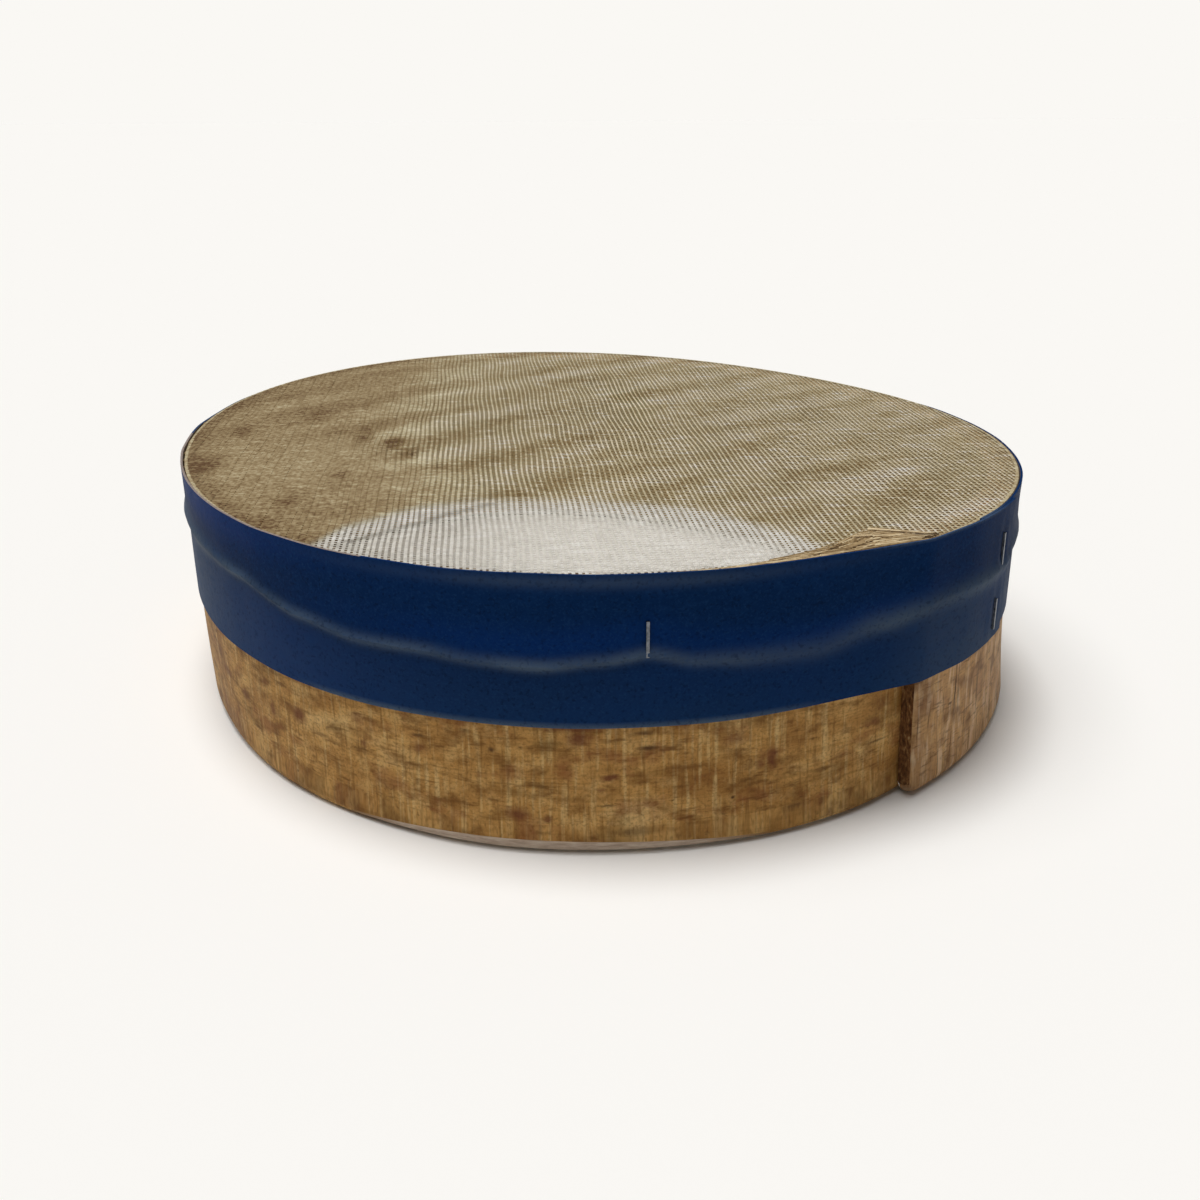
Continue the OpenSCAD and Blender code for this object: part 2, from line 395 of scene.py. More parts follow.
def netMaterial():
    # Woven silk filament: cream with a painted sheen in broad bands and painted glints, browner toward the left where
    # it is soiled and painted as shade, and painted white along the front for the lit floor seen through it.
    # The threads are drawn wider than real ones, to show in a render, and so are partly see-through.
    mat = newMaterial("wovenCreamFilament")
    spot = addNode(mat, "TexCoord")
    tone = addNode(mat, "Attribute", attribute_name="gleam")
    cover = addNode(mat, "Attribute", attribute_name="cover")
    floorLight = addNode(mat, "Attribute", attribute_name="floorLight")
    fine = addNode(mat, "TexNoise", {"Scale": 700.0, "Detail": 1.0}, {"Vector": (spot, "Object")})
    shift = addNode(mat, "MapRange", {"From Min": 0.3, "From Max": 0.7, "To Min": -0.12, "To Max": 0.12}, {"Value": fine})
    level = addNode(mat, "Math", None, {0: (tone, "Fac"), 1: shift}, operation="ADD")
    # painted glints: streaks of stretched noise that lighten the threads, fewer where the cloth is covered
    turned = addNode(mat, "Mapping", {"Scale": (1 / (11 * mm), 1 / (2.6 * mm), 1), "Rotation": (0, 0, 0.5)},
                     {"Vector": (spot, "Object")})
    glint = addNode(mat, "TexNoise", {"Scale": 1.0, "Detail": 3.0}, {"Vector": turned})
    lit = addNode(mat, "MapRange", {"From Min": 0.52, "From Max": 0.70, "To Min": -0.08, "To Max": 0.34}, {"Value": glint})
    kept = addNode(mat, "MapRange", {"To Min": 1.0, "To Max": 0.25}, {"Value": (cover, "Fac")})
    level = addNode(mat, "Math", None, {0: lit, 1: kept, 2: level}, operation="MULTIPLY_ADD")
    used = addNode(mat, "ValToRGB", None, {"Fac": level},
                   [(0.0, "#6a4e33"), (0.16, "#957e5a"), (0.30, "#b09b76"), (0.52, "#d8cca8"), (0.74, "#f0e5cb"),
                    (1.0, "#fbf7ec")])
    # painted white of the front, standing in for the lit floor seen through the cloth
    white = addNode(mat, "ValToRGB", None, {"Fac": level}, [(0.3, "#9c968a"), (0.8, "#e8e3d8"), (1.0, "#f6f3ec")])
    colour = addNode(mat, "MixRGB", None, {"Fac": (floorLight, "Fac"), "Color1": used, "Color2": white})
    seen = addNode(mat, "MapRange", {"To Min": net["seen"], "To Max": net["seenCovered"]}, {"Value": (cover, "Fac")})
    shader = addNode(mat, "BsdfPrincipled", {"Roughness": 0.45, "IOR": 1.54, "Specular IOR Level": 0.15},
                     {"Base Color": colour, "Alpha": seen})
    return finishMaterial(mat, shader)


def grainyMaterial(name, scale, stops, roughness, strength, distance):
    # one stretched noise for colour and bump, for the small rough places
    mat = newMaterial(name)
    spot = addNode(mat, "TexCoord")
    scaled = addNode(mat, "Mapping", {"Scale": tuple(1 / (s * mm) for s in scale)}, {"Vector": (spot, "Object")})
    fibre = addNode(mat, "TexNoise", {"Scale": 1.0, "Detail": 4.0, "Roughness": 0.6}, {"Vector": scaled})
    colour = addNode(mat, "ValToRGB", None, {"Fac": fibre}, stops)
    bump = addNode(mat, "Bump", {"Strength": strength, "Distance": distance * mm}, {"Height": fibre})
    shader = addNode(mat, "BsdfPrincipled", {"Roughness": roughness, "Specular IOR Level": 0.2},
                     {"Base Color": colour, "Normal": bump})
    return finishMaterial(mat, shader)


def wornMaterial():
    # Lower corner rubbed away on table tops: bare, greyer beech with a pinkish cast, browner where the rubbing ends.
    mat = newMaterial("rubbedBeechEdge")
    uv = addNode(mat, "UVMap", uv_map="strip")
    scaled = addNode(mat, "Mapping", {"Scale": (1 / (6 * mm), 1 / (1.2 * mm), 1)}, {"Vector": uv})
    fibre = addNode(mat, "TexNoise", {"Scale": 1.0, "Detail": 4.0, "Roughness": 0.6}, {"Vector": scaled})
    bare = addNode(mat, "ValToRGB", None, {"Fac": fibre}, [(0.36, "#b9a391"), (0.5, "#cdb9a8"), (0.66, "#dfd0c0")])
    split = addNode(mat, "SeparateXYZ", None, {"Vector": uv})
    centre = math.radians(strip["wearDir"] - plan["outerEnd"]) * plan["across"] / 2 * mm
    away = addNode(mat, "Math", {1: centre}, {0: split}, operation="SUBTRACT")
    apart = addNode(mat, "Math", None, {0: away}, operation="ABSOLUTE")
    fade = addNode(mat, "MapRange", {"From Min": 0.042, "From Max": 0.062}, {"Value": apart})
    colour = addNode(mat, "MixRGB", {"Color2": toLinear("#a07c50")}, {"Fac": fade, "Color1": bare})
    bump = addNode(mat, "Bump", {"Strength": 0.25, "Distance": 0.0002}, {"Height": fibre})
    shader = addNode(mat, "BsdfPrincipled", {"Roughness": 0.75, "Specular IOR Level": 0.2},
                     {"Base Color": colour, "Normal": bump})
    return finishMaterial(mat, shader)


def frayMaterial():
    # Torn beech fibres: each its own tone from straw to dark brown, with fine dirt between them.
    mat = newMaterial("tornBeechFibre")
    spot = addNode(mat, "TexCoord")
    tone = addNode(mat, "Attribute", attribute_name="tone")
    scaled = addNode(mat, "Mapping", {"Scale": (1 / (7 * mm), 1 / (0.7 * mm), 200), "Rotation": (0, 0, -0.8)},
                     {"Vector": (spot, "Object")})
    grain = addNode(mat, "TexNoise", {"Scale": 1.0, "Detail": 3.0}, {"Vector": scaled})
    shift = addNode(mat, "MapRange", {"From Min": 0.35, "From Max": 0.65, "To Min": -0.2, "To Max": 0.2}, {"Value": grain})
    level = addNode(mat, "Math", None, {0: (tone, "Fac"), 1: shift}, operation="ADD")
    colour = addNode(mat, "ValToRGB", None, {"Fac": level},
                     [(0.0, "#4c3a24"), (0.25, "#8d7350"), (0.55, "#ad946b"), (0.8, "#c8b088"), (1.0, "#e2cfa8")])
    shader = addNode(mat, "BsdfPrincipled", {"Roughness": 0.6, "IOR": 1.45, "Specular IOR Level": 0.3},
                     {"Base Color": colour})
    return finishMaterial(mat, shader)


def wireMaterial():
    # Galvanised flat staple wire: bright grey with a dull bloom in patches.
    mat = newMaterial("galvanisedWire")
    spot = addNode(mat, "TexCoord")
    bloom = addNode(mat, "TexNoise", {"Scale": 900.0, "Detail": 2.0}, {"Vector": (spot, "Object")})
    colour = addNode(mat, "ValToRGB", None, {"Fac": bloom}, [(0.3, "#54575c"), (0.7, "#85888e")])
    roughness = addNode(mat, "MapRange", {"To Min": 0.28, "To Max": 0.5}, {"Value": bloom})
    shader = addNode(mat, "BsdfPrincipled", {"Metallic": 1.0}, {"Base Color": colour, "Roughness": roughness})
    return finishMaterial(mat, shader)


# The strip, its worn foot, and the marks on it: direction, height, half width, half height, strength
strip = {
    "thick": 4.85, "corner": 0.7, "step": 1.5, "swell": 0.25,
    "wearDir": 267, "wearReach": 24, "wearHigh": 2.7, "wearIn": 0.7, "endRound": 3.0, "flourHigh": 9.0,
    # by direction: how far the foot stands out from the band's round, how far its outer corner stands off
    # the table, and how far that corner is rounded
    "flare": ((-180, -1.6), (-150, -1.2), (-120, 0.5), (-95, 2.6), (-60, 2.4), (-48, 1.5), (-34, 1.4), (-14, 3.5),
              (5, 4.6), (40, 1.6), (80, 0.0), (180, -1.6)),
    "lifted": ((-180, 0.4), (-113, 0.4), (-70, 0.4), (-52, 0.6), (-30, 0.8), (5, 0.7), (60, 0.4), (180, 0.4)),
    # how far the warped foot stands off the table
    "arched": ((-180, 0.0), (-150, 0.2), (-125, 0.6), (-100, 0.9), (-60, 1.1), (-40, 1.0), (-20, 0.7), (10, 0.3),
               (40, 0.0), (180, 0.0)),
    "rounded": ((-180, 1.9), (-140, 2.3), (-128, 1.6), (-113, 0.2), (-75, 0.2), (-58, 1.0), (-48, 1.9), (-25, 1.9),
                (10, 1.2), (60, 0.6), (120, 0.9), (180, 1.9)),
    "stains": (
        (270.1, 36.3, 9, 1.1, 0.75), (270.9, 33.4, 3.4, 2.4, 0.85), (274.1, 21.2, 2.8, 1.0, 0.85),
        (273.2, 17.5, 1.4, 0.6, 0.6), (264.4, 9.5, 3.4, 2.1, 0.75), (267.5, 8.4, 1.4, 1.1, 0.7),
        (253.3, 25.9, 2.8, 1.8, 0.5), (281.9, 36.7, 2.0, 1.1, 0.65), (235.5, 24.6, 3.6, 2.8, 0.8),
        (243.0, 38.4, 3.4, 1.2, 0.85), (230.0, 21.9, 1.8, 2.8, 0.6), (216.4, 22.4, 3.6, 1.8, 0.65),
        (245.2, 30.6, 2.6, 2.2, 0.5), (245.9, 23.2, 1.2, 1.2, 0.6), (291.6, 22.7, 1.6, 3.8, 0.75),
        (290.2, 21.5, 1.4, 1.6, 0.6), (287.4, 30.3, 4.4, 2.0, 0.55), (304.4, 25.4, 3.6, 1.4, 0.5),
        (298.6, 3.6, 2.2, 0.9, 0.5), (228.7, 29.8, 2.4, 1.6, 0.45), (222.5, 19.9, 2.6, 2.2, 0.4),
        # this row: a painted shadow just under the band's lower edge, not stains
        (213.0, 39.6, 26, 2.0, 0.55), (236.0, 39.6, 16, 1.6, 0.60), (325.0, 39.4, 20, 1.4, 0.35),
    ),
    "dashes": (
        (277.5, 34.8, 3.2, 0.7, 0.6), (278.0, 30.2, 2.6, 0.7, 0.75), (253.2, 30.0, 2.4, 0.6, 0.65),
        (258.7, 33.8, 1.8, 0.7, 0.5), (273.7, 12.7, 2.6, 0.4, 0.7), (276.7, 5.1, 6.5, 0.5, 0.5),
        (261.6, 28.7, 0.8, 0.7, 0.7), (305.3, 18.7, 4.2, 0.4, 0.6), (287.1, 12.2, 0.6, 0.5, 0.9),
        (294.2, 5.9, 3.8, 0.5, 0.5), (-43.2, 26.5, 0.45, 8.0, 0.95), (-44.2, 23.1, 1.3, 0.5, 0.8),
        (-37.2, 20.5, 0.4, 9.5, 0.7), (-40.6, 14.0, 0.35, 6.0, 0.5),
    ),
    "insideMarks": (
        (488.2, 47.2, 3.0, 3.4, 0.6), (482.6, 42.1, 3.4, 2.8, 0.7), (478.3, 34.0, 2.2, 2.0, 0.6),
        (146.2, 28.7, 3.2, 1.8, 0.7), (492.7, 30.9, 2.2, 1.8, 0.4), (161.8, 73.9, 2.4, 4.4, 0.45),
        (187.6, 76.1, 3.4, 3.2, 0.5), (174.5, 65.9, 4.6, 2.6, 0.5), (470.0, 21.9, 2.2, 1.6, 0.4),
    ),
}
net = {
    "pitch": 1.8, "dir": 6, "rest": 84.70, "crimp": 0.07, "wide": {True: 0.38, False: 0.30}, "thick": 0.06,
    "wander": 1.0, "jitter": 0.09, "sag": 0.25, "seen": 0.52, "seenCovered": 0.85,
    "cloth": 0.4, "turnUp": 6, "cutAcross": 0.364,
    # from left to right, how far back the cloth is painted white for the lit floor seen through it, and the two ends of
    # a crease along which shade is painted
    "floorLightEdge": ((-180, -200), (-76, -131), (-68, -111), (-48, -92), (-30, -84.5), (-10, -84.5), (15, -88), (34, -93),
                  (48, -103), (62, -116), (74, -132), (180, -200)),
    "creaseShade": ((-69.8, -131.0), (-20.1, -84.4)),
    # soiled spots: place, size and depth of colour
    "stains": ((-68.6, -14.3, 3.0, 0.55), (-81.2, -6.7, 3.4, 0.30), (-60.5, -32.9, 2.6, 0.32), (-79.8, -57.6, 2.2, 0.16),
               (-90.6, -88.0, 3.0, 0.18), (-129.6, 2.2, 3.2, 0.18), (-129.5, -43.0, 4.2, 0.22), (-106.3, 26.5, 5.0, 0.12)),
}

woodLook, insideLook, vinylLook, netLook = woodMaterial(), insideMaterial(), vinylMaterial(), netMaterial()
wireLook = wireMaterial()
# knitted cotton backing of the vinyl, seen where it was cut: pinkish beige, dull
backingLook = grainyMaterial("cutCottonBacking", (1.1, 1.1, 1.1), [(0.35, "#7d736f"), (0.65, "#a3938a")], 0.8, 0.3, 0.1)
# sawn end of the strip: dark, rough end grain with dirt worked into it and pale torn fibres
endLook = grainyMaterial("sawnBeechEnd", (0.9, 0.9, 2.2), [(0.36, "#4a2e18"), (0.5, "#6f4a2a"), (0.62, "#8f6a42"),
                                                           (0.72, "#bda27a")], 0.9, 0.7, 0.6)
wornLook = wornMaterial()
# top of the strip, painted darker as shade against the light that falls on it from above
shadedTopLook = grainyMaterial("shadeDarkenedBeechTop", (5, 5, 2), [(0.34, "#7b6140"), (0.5, "#8f7450"), (0.68, "#a48a64")], 0.8, 0.3, 0.2)
frayLook = frayMaterial()
print("materials made")

swell = ripple(5, 6, 3, 11)
topWave = ripple(9, 7, 5, 23)


def wornAt(a):
    return max(0.0, 1 - ((a - strip["wearDir"]) / strip["wearReach"]) ** 2)


def wornTop(a):  # up to where the foot's outer corner is rubbed or rounded
    rounded = 0.5 + fromTable(strip["rounded"], a)
    return fromTable(strip["arched"], a) + fromTable(strip["lifted"], a) + rounded + strip["wearHigh"] * wornAt(a)


def fromTable(table, a, ease=smooth):  # a value that eases from one direction's to the next one's
    d = nearest(a, 0)
    for (a1, v1), (a2, v2) in zip(table, table[1:]):
        if a1 <= d <= a2:
            return v1 + (v2 - v1) * ease((d - a1) / (a2 - a1))
    return table[0][1]


def stripSection(a):
    outer = plainRadius(a) + liftAt(a) + strip["swell"] * swell(a) * (1 if a < bridgeEnd else 0)
    if a > bridgeEnd:
        outer -= 0.15
    t, c = strip["thick"], strip["corner"]
    rounded = 0.5 + fromTable(strip["rounded"], a)
    wh, wi = rounded + strip["wearHigh"] * wornAt(a), rounded * 0.85 + strip["wearIn"] * wornAt(a)
    bulge = 0.5 - 0.24 * (1 - wornAt(a))
    fromEnd = math.radians(a - plan["outerEnd"]) * plan["across"] / 2
    near = max(0.0, 1 - fromEnd / strip["endRound"])
    foot = strip["endRound"] * (1 - math.sqrt(1 - near * near)) + fromTable(strip["arched"], a)
    nick = 0.5 * max(0.0, 1 - fromEnd / 0.8) ** 2
    top = plan["high"] - 0.15 - 0.15 * topWave(a)
    off = fromTable(strip["lifted"], a)
    points = [(wi + 1.3, foot), (wi + 0.3, foot + 0.6 * off), (wi, foot + off + 0.1), (wi * bulge, foot + off + wh * bulge)]
    shoulder = foot + max(wh + off, 0.2)
    points += [(0.08 + nick, shoulder - 0.1), (nick, shoulder + 0.25)]
    points += [(nick, z) for z in (9, 14, 20, 26, 32, 39, 46, 54, 63, 72, 80)]
    points += [(nick, top - c), (0.3 * c + nick, top - 0.3 * c), (c, top)]
    points += [(t - c, top), (t - 0.3 * c, top - 0.3 * c), (t, top - c)]
    points += [(t, z) for z in (72, 56, 40, 24, 10)]
    points += [(t, c + foot), (t - 0.3 * c, 0.3 * c + foot), (t - c, foot)]
    flare = fromTable(strip["flare"], a)
    return [(outer - d + flare * max(0.0, 1 - z / 42) ** 1.6, z) for d, z in points]


stripAngles = steps(plan["outerEnd"], plan["innerEnd"] + turn, strip["step"], (0.06, 0.15, 0.3, 0.5, 0.8, 1.1))
hoop = sweepStrip("bentStrip", stripAngles, stripSection)
for look in (woodLook, endLook, wornLook, insideLook, shadedTopLook):
    hoop.data.materials.append(look)
for face in hoop.data.polygons:
    toward = face.normal.x * face.center.x + face.normal.y * face.center.y
    a = directionOf(face.center) % turn
    if len(face.vertices) > 4:
        face.material_index = 1 if a > 200 else 3  # the two sawn ends, the inner one clean
    elif face.normal.z > 0.5:
        face.material_index = 4
    elif toward < 0:
        face.material_index = 3
    elif face.normal.z > -0.8 and wornAt(a) > 0.02 and face.center.z < wornTop(a) * mm:
        face.material_index = 2
dress(hoop, "wood", "hoop")
print("hoop made:", len(hoop.data.polygons), "faces")

# Torn fibres and shavings pushed up through the net, where the strip passes inside its outer end
fray = {
    # by direction, the radius that the torn place reaches inward to
    "edge": ((-180, 165), (-84, 160), (-76, 155.6), (-67, 152.2), (-60.9, 150.4), (-55.4, 146.5), (-52.8, 145.4), (-51.9, 149.5),
             (-51.0, 154.5), (-49.6, 160), (-46, 162), (180, 170)),
    "first": -80, "last": -49.4, "count": 190, "long": (6, 17), "wide": (0.35, 0.75), "level": 84.95, "thick": 0.3,
}


def frayPoint(a, part, rise):  # part runs from the rim, 0, to the torn edge, 1
    rim = skinRadius(a) - 0.6
    return place(a, rim + part * min(0.0, fromTable(fray["edge"], a) - rim), fray["level"] + rise)


def makeFray():
    rng = random.Random(29)
    acrossCount, alongCount = 10, 80
    deselectAll()
    bpy.ops.mesh.primitive_grid_add(x_subdivisions=alongCount, y_subdivisions=acrossCount, size=1)
    shaving = bpy.context.object
    for v in shaving.data.vertices:
        i, j = round((v.co.x + 0.5) * alongCount), round((v.co.y + 0.5) * acrossCount)
        a = fray["first"] + (fray["last"] - fray["first"]) * i / alongCount
        torn = 1 - (0.10 * (i % 3 == 0) + 0.05 * (i % 2)) * (j == acrossCount)
        v.co = frayPoint(a, j / acrossCount * torn, rng.uniform(-0.12, 0.12))
    onlySelect(shaving)
    bpy.ops.object.modifier_add(type="SOLIDIFY")
    shaving.modifiers[-1].thickness = fray["thick"] * mm
    shaving.modifiers[-1].offset = -1
    bpy.ops.object.modifier_apply(modifier=shaving.modifiers[-1].name)
    parts, tones = [shaving], [0.42]
    for n in range(fray["count"]):
        dark = n < 14
        a0 = rng.uniform(-51.5, -49) if dark else rng.uniform(fray["first"], fray["last"] - 3)
        a1 = min(a0 + math.degrees(rng.uniform(*fray["long"]) / (plan["across"] / 2)) * (0.3 if dark else 1), fray["last"] + 0.5)
        part = rng.uniform(0, 1) ** 0.8
        start = frayPoint(a0, part, rng.uniform(-0.1, 0.15))
        end = frayPoint(a1, min(1.05, part + rng.uniform(-0.18, 0.14)), rng.uniform(0.0, 0.3))
        way = end - start
        wide = rng.uniform(*fray["wide"]) * mm
        bpy.ops.mesh.primitive_cone_add(vertices=5, radius1=wide / 2, radius2=wide / 6, depth=way.length,
                                        location=(start + end) / 2, rotation=way.to_track_quat("Z", "Y").to_euler())
        parts.append(bpy.context.object)
        tones.append(0.0 if dark else rng.choice((0.15, 0.3, 0.55, 0.75, 0.95)))
    for part, value in zip(parts, tones):
        layer = part.data.attributes.new("tone", "FLOAT", "POINT")
        for item in layer.data:
            item.value = value
    deselectAll()
    for part in parts:
        part.select_set(True)
    bpy.context.view_layer.objects.active = shaving
    bpy.ops.object.join()
    bpy.ops.object.transform_apply(location=True, rotation=True, scale=True)
    shaving.name = "frayedFibres"
    shaving.data.materials.clear()
    shaving.data.materials.append(frayLook)
    return shaving


frayed = makeFray()
dress(frayed, "wood")
print("fibres made:", len(frayed.data.polygons), "faces")

band = {
    "top": 86.0, "low": 40.0, "thick": 0.75, "startsAt": -42, "endsAt": -32 + turn, "step": 0.75,
    "lowOut": 0.9, "hemOut": 1.35,
    "staples": ((-82.2, 67), (186, 66), (60, 67), (-35.5, 71), (-35.5, 48.7)),
    # how far the hem ridge lies below the band's top edge, by direction
    "hemDepth": ((-180, 18), (-150, 17.5), (-140, 17.6), (-133.5, 18.3), (-121.8, 23.0), (-113.1, 25.7),
                 (-105.7, 25.3), (-99.1, 26.7), (-92.9, 27.4), (-86.9, 25.6), (-82, 23.6), (-76.9, 26.7),
                 (-70.6, 27.6), (-63.7, 27.7), (-56.6, 24.2), (-49, 20.7), (-38.1, 21.8), (-20, 20),
                 (0, 18), (20, 19), (45, 22), (59, 21), (75, 24), (100, 25), (125, 23), (150, 20), (180, 18)),
}
fineWave = ripple(21, 9, 14, 60)
edgeWave = ripple(33, 7, 6, 30)
ridgeWave = ripple(41, 6, 9, 26)
ridgePatch = ripple(52, 6, 11, 37)
climbFrom = band["startsAt"] + turn - runUp(0.9)


def ridgeHeight(a):
    return band["top"] - fromTable(band["hemDepth"], a) + 0.25 * ridgeWave(a)


def ridgeBroad(a):  # 0 where the hem's ridge is narrow and sharp, 1 where it is broad and soft
    x = nearest(a, -76)
    return max(smooth((x + 6) / 22) - 0.3 * smooth((x - 90) / 30), 0.7 * smooth((-x - 54) / 20))


def bandOut(a, z):  # the band's outside above the skin, without its end's overlap
    above, broad = z - ridgeHeight(a), ridgeBroad(a)
    out = band["lowOut"] + (band["hemOut"] - band["lowOut"]) * smooth((above + 1) / 2)
    out += (1.15 - 0.25 * broad) * bell(above, 1.35 + 1.6 * broad)
    out += 0.14 * fineWave(a) * smooth((z - 40) / 12)
    out += 0.25 * (1 + edgeWave(a + 90)) * smooth((z - 76) / 10) * (1 - bell(nearest(a, 15), 30))
    out -= 0.85 * bell(nearest(a, 15), 28) * smooth((z - 70) / 10)
    out += 1.1 * bell(nearest(a, 1), 5) * bell(z - 71, 4) + 0.6 * bell(nearest(a, 180), 12) * bell(z - 77, 6)
    sx, sz = math.radians(nearest(a, -84.4)) * plan["across"] / 2, z - 71.5
    out += 0.22 * bell(math.hypot(sx, sz) - 3.2, 2.2) * cosOf(5 * math.degrees(math.atan2(sz, sx)))
    for sa, height in band["staples"]:
        side = math.radians(nearest(a, sa)) * plan["across"] / 2
        if abs(side) < 14 and abs(z - height) < 18:
            out -= 0.5 * bell(side, 1.6) * bell(z - height, 7)
            out += 0.30 * bell(abs(side) - 3.6, 1.7) * bell(z - height, 8)
    return out


def bandTone(a, z):  # how royal blue the vinyl is, and how grey: bloom, painted highlight and painted sheen
    d, above, below = nearest(a, 0), z - ridgeHeight(a), band["top"] - z
    broad = ridgeBroad(a)
    royal = 0.60 * bell(nearest(a, -150), 30) * smooth((13 - below) / 11)
    royal += 0.40 * bell(d + 94, 20) * bell(above - 6, 6) + 0.30 * bell(d + 62, 15) * bell(above - 4, 5)
    royal += 0.25 * bell(d + 128, 18) * smooth(-above / 5)
    patchy = 0.72 + 0.28 * ridgePatch(a)
    # rubbed grey along the hem ridge, with a painted highlight on it
    bloom = (0.88 - 0.22 * broad) * patchy * bell(above - 0.3, 1.9 + 1.5 * broad) * (1 - 0.45 * bell(nearest(a, 190), 32))
    # painted sheen low on the far left, and a pale line under the top edge at the front
    bloom += 0.60 * bell(nearest(a, 190), 22) * smooth((below - 8) / 10) + 0.40 * bell(d + 88, 22) * bell(below - 2.4, 1.8)
    bloom += 0.30 * smooth((d + 58) / 14) * smooth((22 - d) / 20) * smooth((3 - above) / 6)
    bloom += 0.16 * bell(d + 138, 22) * smooth((1 - above) / 5)
    bloom += 0.8 * bell(nearest(a, 150), 38) * smooth((3.2 - below) / 1.6)
    bloom += 0.5 * smooth((1.2 - below) / 0.8) * smooth((d + 60) / 6) * smooth((-20 - d) / 10)
    bloom += smooth((32 - abs(d + 93)) / 8) * smooth((band["low"] + 1.1 - z) / 0.8)
    return min(1, royal), min(1, bloom)


def bandSection(a):
    over = 0.9 * smooth((a - climbFrom) / (band["startsAt"] + turn - climbFrom))
    sunk = 0.9 * smooth((nearest(a, 73) + 121) / 18) * smooth((125 - nearest(a, 73)) / 18)
    sunk += 0.75 * smooth((nearest(a, 90) + 82) / 20) * smooth((92 - nearest(a, 90)) / 20)
    sunk += 0.35 * bell(nearest(a, -57), 10)
    high = band["top"] - sunk - 0.15 + 0.15 * edgeWave(a)
    low = band["low"] + 0.15 + 0.15 * edgeWave(a + 40)
    r, t, outerCount, innerCount = skinRadius(a), band["thick"], 46, 22
    outside, inside = [], []
    for k in range(outerCount + 1):
        z = low + (high - low) * k / outerCount - (0.55 if k == 1 else 0)
        outside.append((r + over + bandOut(a, z), z))
    for k in range(innerCount, -1, -1):
        z = low + (high - low) * k / innerCount
        inside.append((r + over + bandOut(a, z) - t, z))
    return outside + inside


tape = sweepStrip("vinylBand", steps(band["startsAt"], band["endsAt"], band["step"]), bandSection)
tape.data.materials.append(vinylLook)
tape.data.materials.append(backingLook)
toneLayer = tape.data.attributes.new("tone", "FLOAT_VECTOR", "POINT")
for v in tape.data.vertices:
    a, z = directionOf(v.co), v.co.z / mm
    toneLayer.data[v.index].vector = (z - ridgeHeight(a), *bandTone(a, z))
for face in tape.data.polygons:
    inward = face.normal.x * face.center.x + face.normal.y * face.center.y < 0
    cutEdge = face.normal.z > 0.7 and nearest(directionOf(face.center), 180) > 0 and nearest(directionOf(face.center), 180) < 68
    if inward and face.normal.z < 0.7 or cutEdge:
        face.material_index = 1
dress(tape, "vinyl", "band")
print("band made:", len(tape.data.polygons), "faces")

netRng = random.Random(17)
waveList = [(netRng.uniform(0.02, 0.19), netRng.uniform(-0.12, 0.12), netRng.uniform(0, 6.28), netRng.uniform(0.4, 1))
            for _ in range(10)]
waveSum = sum(w[3] for w in waveList)


def drift(x, y, phase):  # how far the cloth has shifted at a place, as a part of the most it shifts
    return sum(s * math.sin(fx * x + fy * y + p + phase) for fx, fy, p, s in waveList) / waveSum


def floorLightAt(x, y):  # 1 along the front, where the cloth is painted white for the lit floor seen through it, fading out over some millimetres
    return smooth((fromTable(net["floorLightEdge"], x, float) + 5 - y) / 13)


def soilAndShadeAt(x, y):  # 1 toward the left, where the cloth is matted and browned, and painted dark as shade where its threads catch no sheen
    return (1 - smooth((x + 95 - 20 * smooth((-20 - y) / 40)) / 58)) * (1 - floorLightAt(x, y))


def creaseShadeAt(x, y):  # 1 along the crease, where a line of shade is painted
    (x1, y1), (x2, y2) = net["creaseShade"]
    size = math.hypot(x2 - x1, y2 - y1)
    along = ((x - x1) * (x2 - x1) + (y - y1) * (y2 - y1)) / size ** 2
    aside = ((x - x1) * (y2 - y1) - (y - y1) * (x2 - x1)) / size
    return bell(aside, 1.8) * smooth(along * 6) * smooth((1.1 - along) * 3)


def isMarked(x, y):  # where the cloth's tone changes within a few threads
    return 0 < floorLightAt(x, y) < 1 or creaseShadeAt(x, y) > 0.05


def gleamAt(x, y, isWarp):  # how light the cloth is painted at a place: painted sheen, glints and shade, white for the floor seen through, soiling and stains
    value = 0.63 if isWarp else 0.54
    # painted sheen in broad bands across the cloth, a little lighter toward the right
    foldSheen = sum(math.sin((y * u - x * w) / 5.9 + p) * (0.5 + 0.5 * math.sin((x * u + y * w) / v + 2 * p))
                for u, w, v, p in ((0.72, 0.66, 31, 0.6), (0.95, 0.50, 23, 2.4), (0.62, 0.85, 39, 4.4), (1.35, 1.0, 17, 1.3)))
    value += 0.11 * foldSheen + 0.05 * smooth((x - 10) / 50)
    # painted white for the lit floor seen through the cloth, and a painted shade line along the crease
    value += (0.80 - value) * floorLightAt(x, y) - 0.35 * creaseShadeAt(x, y)
    # two painted highlight streaks
    value += 0.26 * bell(y + 42 + 0.62 * (x + 78), 2.2) * bell(x + 62, 20)
    value += 0.16 * bell(y - 55 + 0.63 * (x + 92), 4) * bell(x + 77, 24)
    # browner toward the left: soiling, and painted shade where the threads catch no sheen
    value += (0.19 + 0.02 * foldSheen - value) * 0.94 * soilAndShadeAt(x, y)
    value += 0.07 * bell(math.hypot(x + 104, y + 45), 36) * soilAndShadeAt(x, y)
    value -= sum(deep * bell(math.hypot((x - sx) / 1.2, (y - sy) / 2.4), wide) for sx, sy, wide, deep in net["stains"])
    value -= 0.10 * smooth((10 - insideRim(x, y)) / 8)
    return min(1, max(0, value))


def insideRim(x, y):
    return skinRadius(math.degrees(math.atan2(y, x))) + 0.1 - math.hypot(x, y)


